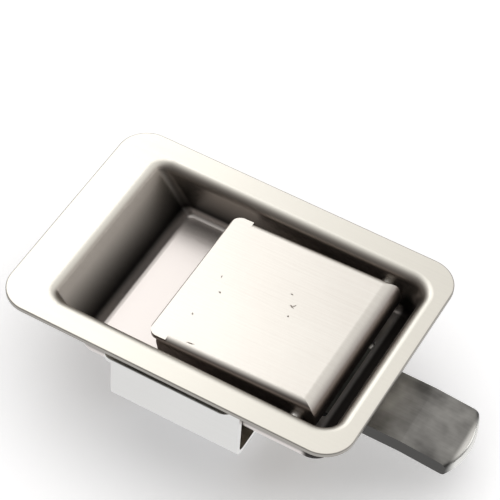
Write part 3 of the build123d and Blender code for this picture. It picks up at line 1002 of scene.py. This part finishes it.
# ---- Clamp -----------------------------------------------------------------------------------
# The U-shaped bracket is bent from 1.5 mm sheet and pulls the flange against the panel. One
# socket-head cap screw with a knurled head draws it up into the nut welded behind the tray.
bracket_steel = steel(
    "bracket_steel",
    light=(0.88, 0.875, 0.865),
    dark=(0.72, 0.715, 0.70),
    rough=0.33,
    rough_spread=0.14,
    line_strength=0.4,
    cloud_strength=0.6,
    bump=0.4,
)
dress("mounting_bracket", bracket_steel)
nut_steel = steel(
    "nut_steel",
    light=(0.64, 0.62, 0.58),
    dark=(0.38, 0.36, 0.33),
    rough=0.38,
    rough_spread=0.1,
    line_strength=0.2,
    cloud_strength=0.6,
    bump=0.2,
)
dress("weld_nut", nut_steel)
screw_steel = steel(
    "screw_steel",
    light=(0.84, 0.79, 0.67),
    dark=(0.54, 0.48, 0.37),
    rough=0.24,
    rough_spread=0.1,
    line_strength=0.2,
    cloud_strength=0.6,
    bump=0.1,
)

screw_low, screw_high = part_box("clamp_screw")
head_radius = (screw_high[0] - screw_low[0]) / 2
screw_x = (screw_low[0] + screw_high[0]) / 2
seat_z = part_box("mounting_bracket")[0][2]
head_height = seat_z - screw_low[2]
socket_flat = 0.005
socket_depth = 0.0035
knurl_depth = 0.00012
knurl_land = 0.00009
thread_radius = 0.003
thread_depth = 0.0006
thread_pitch = 0.001
thread_turns = 25
thread_overlap = 0.0001

# The thread is a little yellower than the head, which is plain bright steel below its seat.
plating_edge = 0.0003
stain(
    screw_steel,
    {"Z": (seat_z + plating_edge, seat_z - plating_edge)},
    colour=(0.70, 0.69, 0.66),
    rough=0.22,
)

bpy.ops.object.select_all(action="DESELECT")
bpy.ops.mesh.primitive_cylinder_add(
    vertices=60,
    radius=head_radius - knurl_depth,
    depth=head_height,
    location=(screw_x, 0, seat_z - head_height / 2),
)
screw_head = bpy.context.object
bpy.ops.object.select_all(action="DESELECT")
bpy.ops.mesh.primitive_cylinder_add(
    vertices=6,
    radius=socket_flat / math.sqrt(3),
    depth=2 * socket_depth,
    location=(screw_x, 0, screw_low[2]),
)
key_shape = bpy.context.object
bpy.ops.object.select_all(action="DESELECT")
screw_head.select_set(True)
bpy.context.view_layer.objects.active = screw_head
cut = screw_head.modifiers.new("socket", "BOOLEAN")
cut.operation = "DIFFERENCE"
cut.object = key_shape
edge_break = screw_head.modifiers.new("edge_break", "BEVEL")
edge_break.width = 0.00035
edge_break.segments = 3
edge_break.limit_method = "ANGLE"
edge_break.angle_limit = math.radians(50)
apply_modifiers(screw_head)
bpy.data.objects.remove(key_shape)
pick(
    screw_head,
    "polygons",
    lambda face: abs(face.normal.z) < 0.01 and math.hypot(face.center.x, face.center.y) > 0.004,
)
bpy.ops.mesh.inset(thickness=knurl_land, depth=knurl_depth, use_individual=True)
bpy.ops.object.mode_set(mode="OBJECT")

bpy.ops.object.select_all(action="DESELECT")
bpy.ops.mesh.primitive_plane_add(
    size=thread_pitch, location=(screw_x, 0, seat_z - 2 * thread_pitch)
)
thread = bpy.context.object
bpy.context.tool_settings.mesh_select_mode = (True, False, False)
bpy.ops.object.mode_set(mode="EDIT")
bpy.ops.mesh.merge(type="CENTER")
bpy.ops.transform.translate(value=(thread_radius - thread_depth, 0, 0))
for outwards, rise in ((thread_depth, 0.42), (0, 0.14), (-thread_depth, 0.44)):
    bpy.ops.mesh.extrude_vertices_move(
        TRANSFORM_OT_translate={"value": (outwards, 0, rise * thread_pitch)}
    )
bpy.ops.object.mode_set(mode="OBJECT")
turning = thread.modifiers.new("turning", "SCREW")
turning.axis = "Z"
turning.screw_offset = thread_pitch
turning.iterations = thread_turns
turning.steps = turning.render_steps = 32
apply_modifiers(thread)
bpy.ops.object.mode_set(mode="EDIT")
bpy.ops.mesh.select_all(action="SELECT")
bpy.ops.mesh.remove_doubles(threshold=0.000002)
for cut_z, way in ((seat_z - thread_overlap, -1), (screw_high[2], 1)):
    bpy.ops.mesh.select_all(action="SELECT")
    bpy.ops.mesh.bisect(
        plane_co=(screw_x, 0, cut_z), plane_no=(0, 0, way), use_fill=True, clear_outer=True
    )
bpy.ops.object.mode_set(mode="OBJECT")
bpy.ops.object.select_all(action="DESELECT")
thread.select_set(True)
screw_head.select_set(True)
bpy.context.view_layer.objects.active = screw_head
bpy.ops.object.join()
finish_piece(screw_head, "cap_screw", screw_steel)
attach(screw_head, "screw")
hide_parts("clamp_screw")
